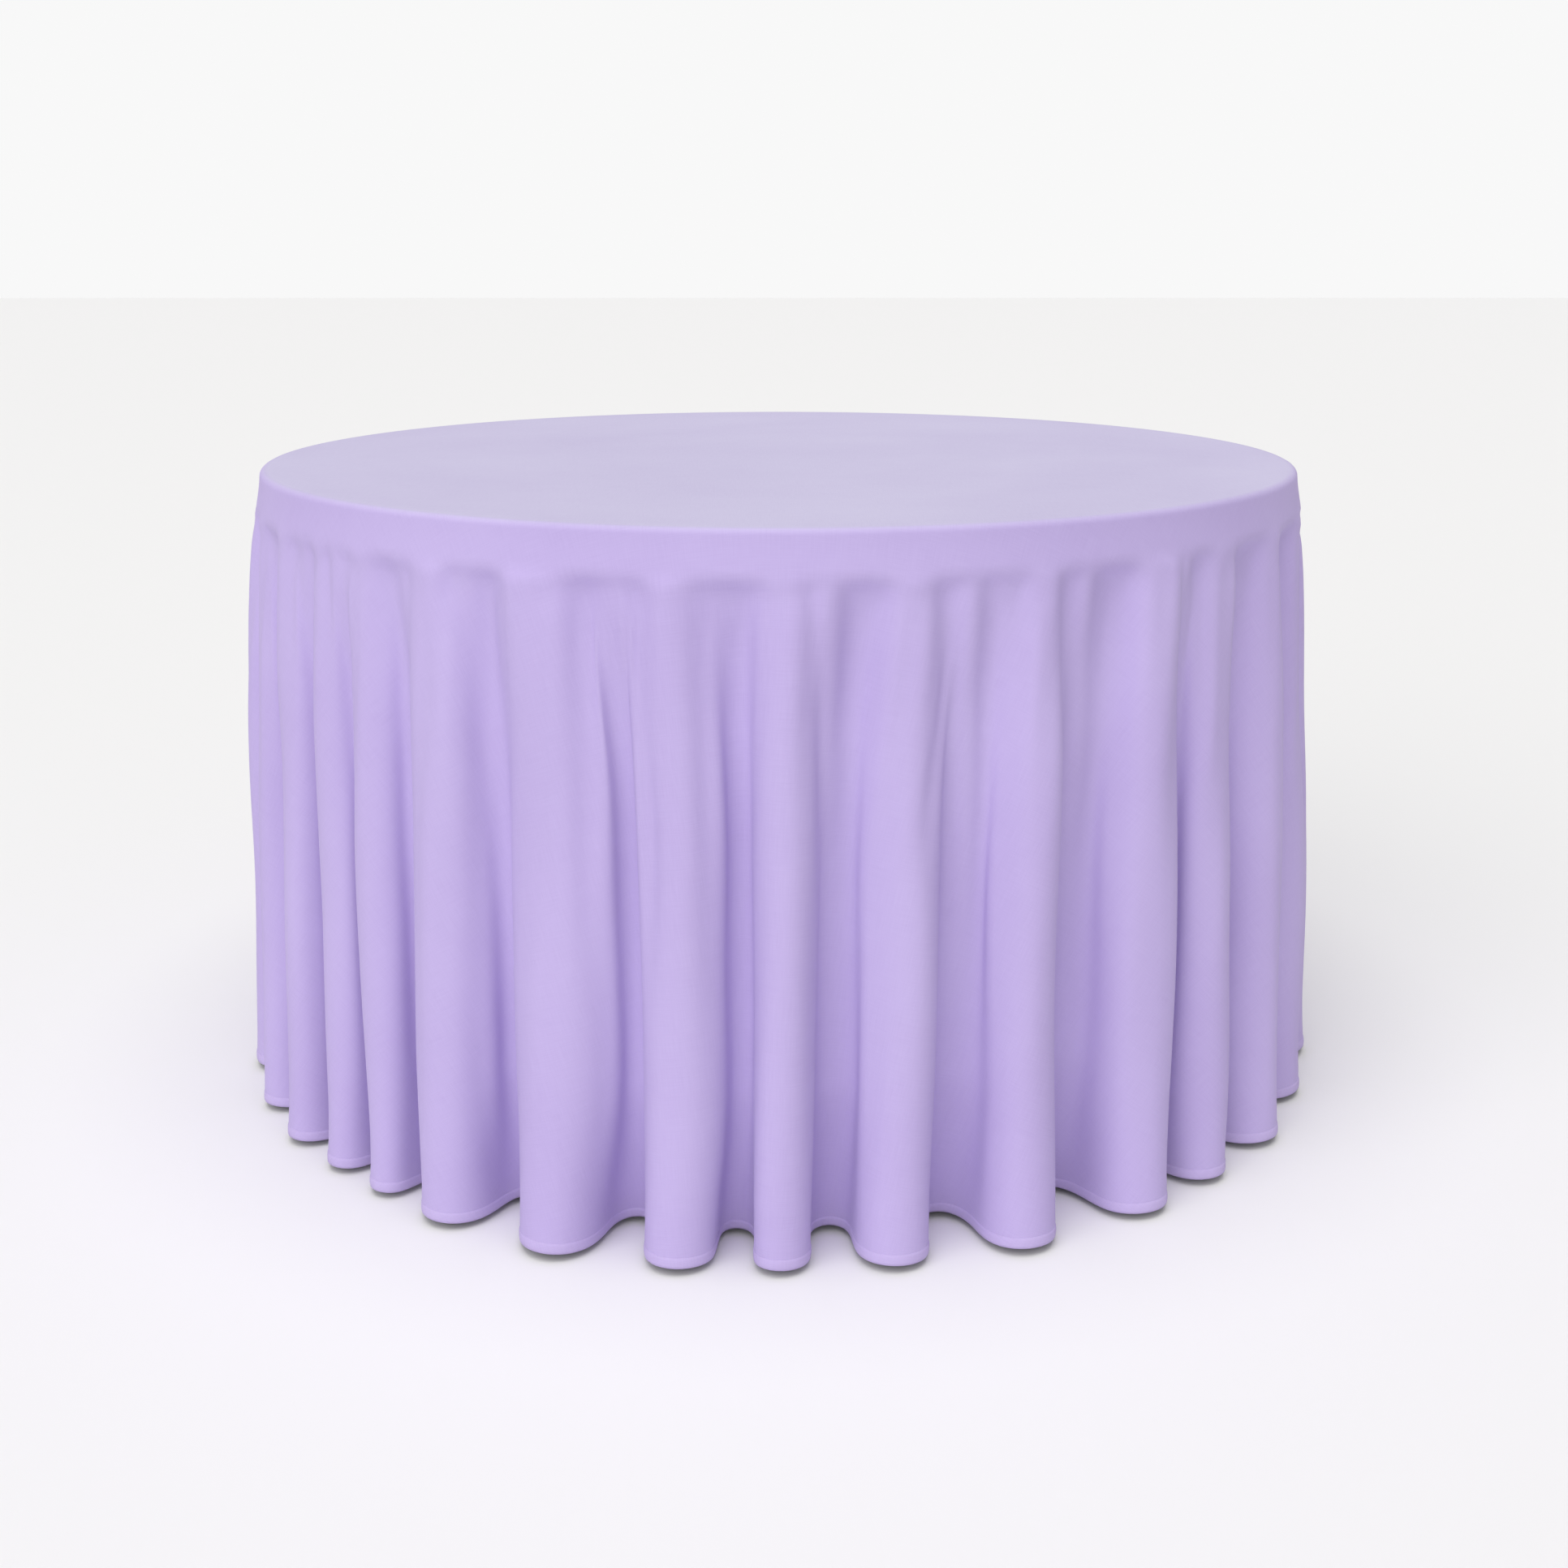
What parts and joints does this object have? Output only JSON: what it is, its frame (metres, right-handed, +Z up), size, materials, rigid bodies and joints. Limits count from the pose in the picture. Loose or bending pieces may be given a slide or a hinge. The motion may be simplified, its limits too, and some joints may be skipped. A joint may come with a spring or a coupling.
{
  "type": "tablecloth on a table",
  "caption": "Round folding banquet table dressed with a floor-length round tablecloth that hangs in deep vertical folds; the leg sets fold under the top.",
  "frame": {"origin": "on the floor, under the middle of the table", "axes": "+Z up, the leg sets stand at -X and +X and fold about axes along Y"},
  "size_m": [1.3365, 1.336, 0.7381],
  "materials": {
    "cloth": "matte",
    "hem": "matte",
    "top_plastic": "satin",
    "frame_steel": "satin",
    "leg_steel": "satin",
    "zinc_steel": "satin",
    "foot_rubber": "matte"
  },
  "bodies": {
    "table": {"tabletop": "top_plastic", "rail_front": "frame_steel", "rail_back": "frame_steel", "cross_plate": "frame_steel", "bracket_a_front": "frame_steel", "bracket_a_back": "frame_steel", "bracket_b_front": "frame_steel", "bracket_b_back": "frame_steel", "brace_a_anchor": "frame_steel", "brace_b_anchor": "frame_steel", "anchor_rivets": "zinc_steel", "rail_screws": "zinc_steel", "bracket_bolts": "zinc_steel"},
    "cloth": {"tablecloth_top": "cloth", "tablecloth_edge_band": "cloth", "tablecloth_skirt": "cloth", "tablecloth_hem": "hem"},
    "leg_a": {"leg_a_tube_front": "leg_steel", "leg_a_tube_back": "leg_steel", "leg_a_pivot_rod": "zinc_steel", "leg_a_crossbar": "leg_steel", "leg_a_foot_front": "foot_rubber", "leg_a_foot_back": "foot_rubber", "leg_a_brace_rivet": "zinc_steel"},
    "brace_a_lower": {"brace_a_lower_link": "zinc_steel"},
    "brace_a_upper": {"brace_a_upper_link": "zinc_steel", "brace_a_knee_rivets": "zinc_steel"},
    "leg_b": {"leg_b_tube_front": "leg_steel", "leg_b_tube_back": "leg_steel", "leg_b_pivot_rod": "zinc_steel", "leg_b_crossbar": "leg_steel", "leg_b_foot_front": "foot_rubber", "leg_b_foot_back": "foot_rubber", "leg_b_brace_rivet": "zinc_steel"},
    "brace_b_lower": {"brace_b_lower_link": "zinc_steel"},
    "brace_b_upper": {"brace_b_upper_link": "zinc_steel", "brace_b_knee_rivets": "zinc_steel"}
  },
  "joints": [
    {"name": "cloth_lift", "type": "slide", "parent": "table", "child": "cloth", "axis": [0, 0, 1], "range_m": [0, 0.8]},
    {"name": "leg_a_fold", "type": "hinge", "parent": "table", "child": "leg_a", "pos_m": [-0.36, 0, 0.674], "axis": [0, -1, 0], "range_deg": [0, 90]},
    {"name": "brace_a_lower_turn", "type": "hinge", "parent": "leg_a", "child": "brace_a_lower", "pos_m": [-0.335, 0, 0.404], "axis": [0, -1, 0], "range_deg": [0, 46]},
    {"name": "brace_a_upper_turn", "type": "hinge", "parent": "table", "child": "brace_a_upper", "pos_m": [-0.03, 0, 0.699], "axis": [0, 1, 0], "range_deg": [0, 44.1]},
    {"name": "leg_b_fold", "type": "hinge", "parent": "table", "child": "leg_b", "pos_m": [0.36, 0, 0.639], "axis": [0, 1, 0], "range_deg": [0, 90]},
    {"name": "brace_b_lower_turn", "type": "hinge", "parent": "leg_b", "child": "brace_b_lower", "pos_m": [0.335, 0, 0.369], "axis": [0, 1, 0], "range_deg": [0, 46]},
    {"name": "brace_b_upper_turn", "type": "hinge", "parent": "table", "child": "brace_b_upper", "pos_m": [0.03, 0, 0.664], "axis": [0, -1, 0], "range_deg": [0, 44.1]}
  ],
  "couplings": [
    {"joint": "brace_a_lower_turn", "follows": "leg_a_fold", "ratio": 0.5106},
    {"joint": "brace_a_upper_turn", "follows": "leg_a_fold", "ratio": 0.4894},
    {"joint": "brace_b_lower_turn", "follows": "leg_b_fold", "ratio": 0.5106},
    {"joint": "brace_b_upper_turn", "follows": "leg_b_fold", "ratio": 0.4894}
  ]
}
